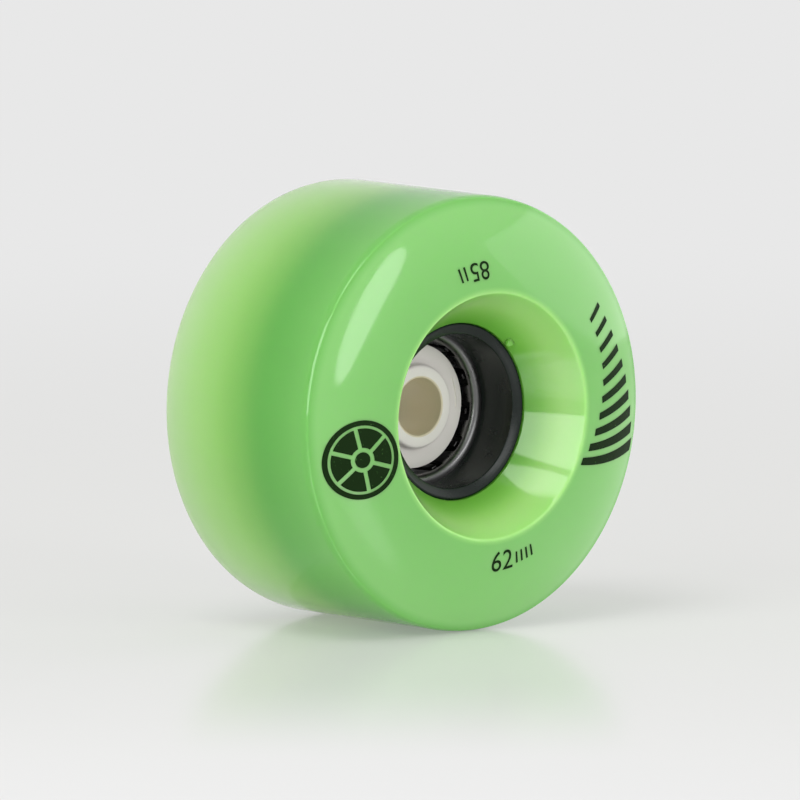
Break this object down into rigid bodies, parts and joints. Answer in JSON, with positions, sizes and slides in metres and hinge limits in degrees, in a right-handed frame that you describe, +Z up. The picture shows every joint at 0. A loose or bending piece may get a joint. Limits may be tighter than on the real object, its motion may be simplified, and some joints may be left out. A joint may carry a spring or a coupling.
{
  "type": "light-up roller skate wheel",
  "caption": "Cast urethane skate wheel with dished sides, bearing seats and a magnet spacer inside a claw-pole coil that lights it.",
  "frame": {"origin": "centre of the wheel: on its axis, midway between its two sides", "axes": "Y along the wheel's axis, with the printed front face towards -Y; +Z up, so the tread touches the ground at z = -31 mm"},
  "size_m": [0.062, 0.0394, 0.062],
  "materials": {
    "urethane": "satin",
    "core_plastic": "satin",
    "claw_steel": "satin",
    "yoke_steel": "satin",
    "bobbin_plastic": "matte",
    "winding_copper": "gloss",
    "circuit_board": "satin",
    "led_lens": "gloss",
    "spacer_plastic": "satin",
    "magnet": "matte"
  },
  "bodies": {
    "spacer": {"spacer_sleeve": "spacer_plastic", "spacer_back_flange": "spacer_plastic", "magnet_ring": "magnet"},
    "wheel": {"tyre": "urethane", "core_front_shell": "core_plastic", "core_back_shell": "core_plastic", "claw_plate_front": "claw_steel", "claw_plate_back": "claw_steel", "yoke_ring": "yoke_steel", "coil_bobbin": "bobbin_plastic", "coil_winding": "winding_copper", "coil_lead_start": "winding_copper", "coil_lead_end": "winding_copper", "led_board": "circuit_board", "led_1": "led_lens", "led_2": "led_lens", "led_3": "led_lens", "led_4": "led_lens", "led_5": "led_lens", "led_6": "led_lens"}
  },
  "joints": [
    {"name": "wheel_spin", "type": "hinge", "parent": "spacer", "child": "wheel", "pos_m": [0, 0, 0], "axis": [0, 1, 0], "continuous": true}
  ]
}
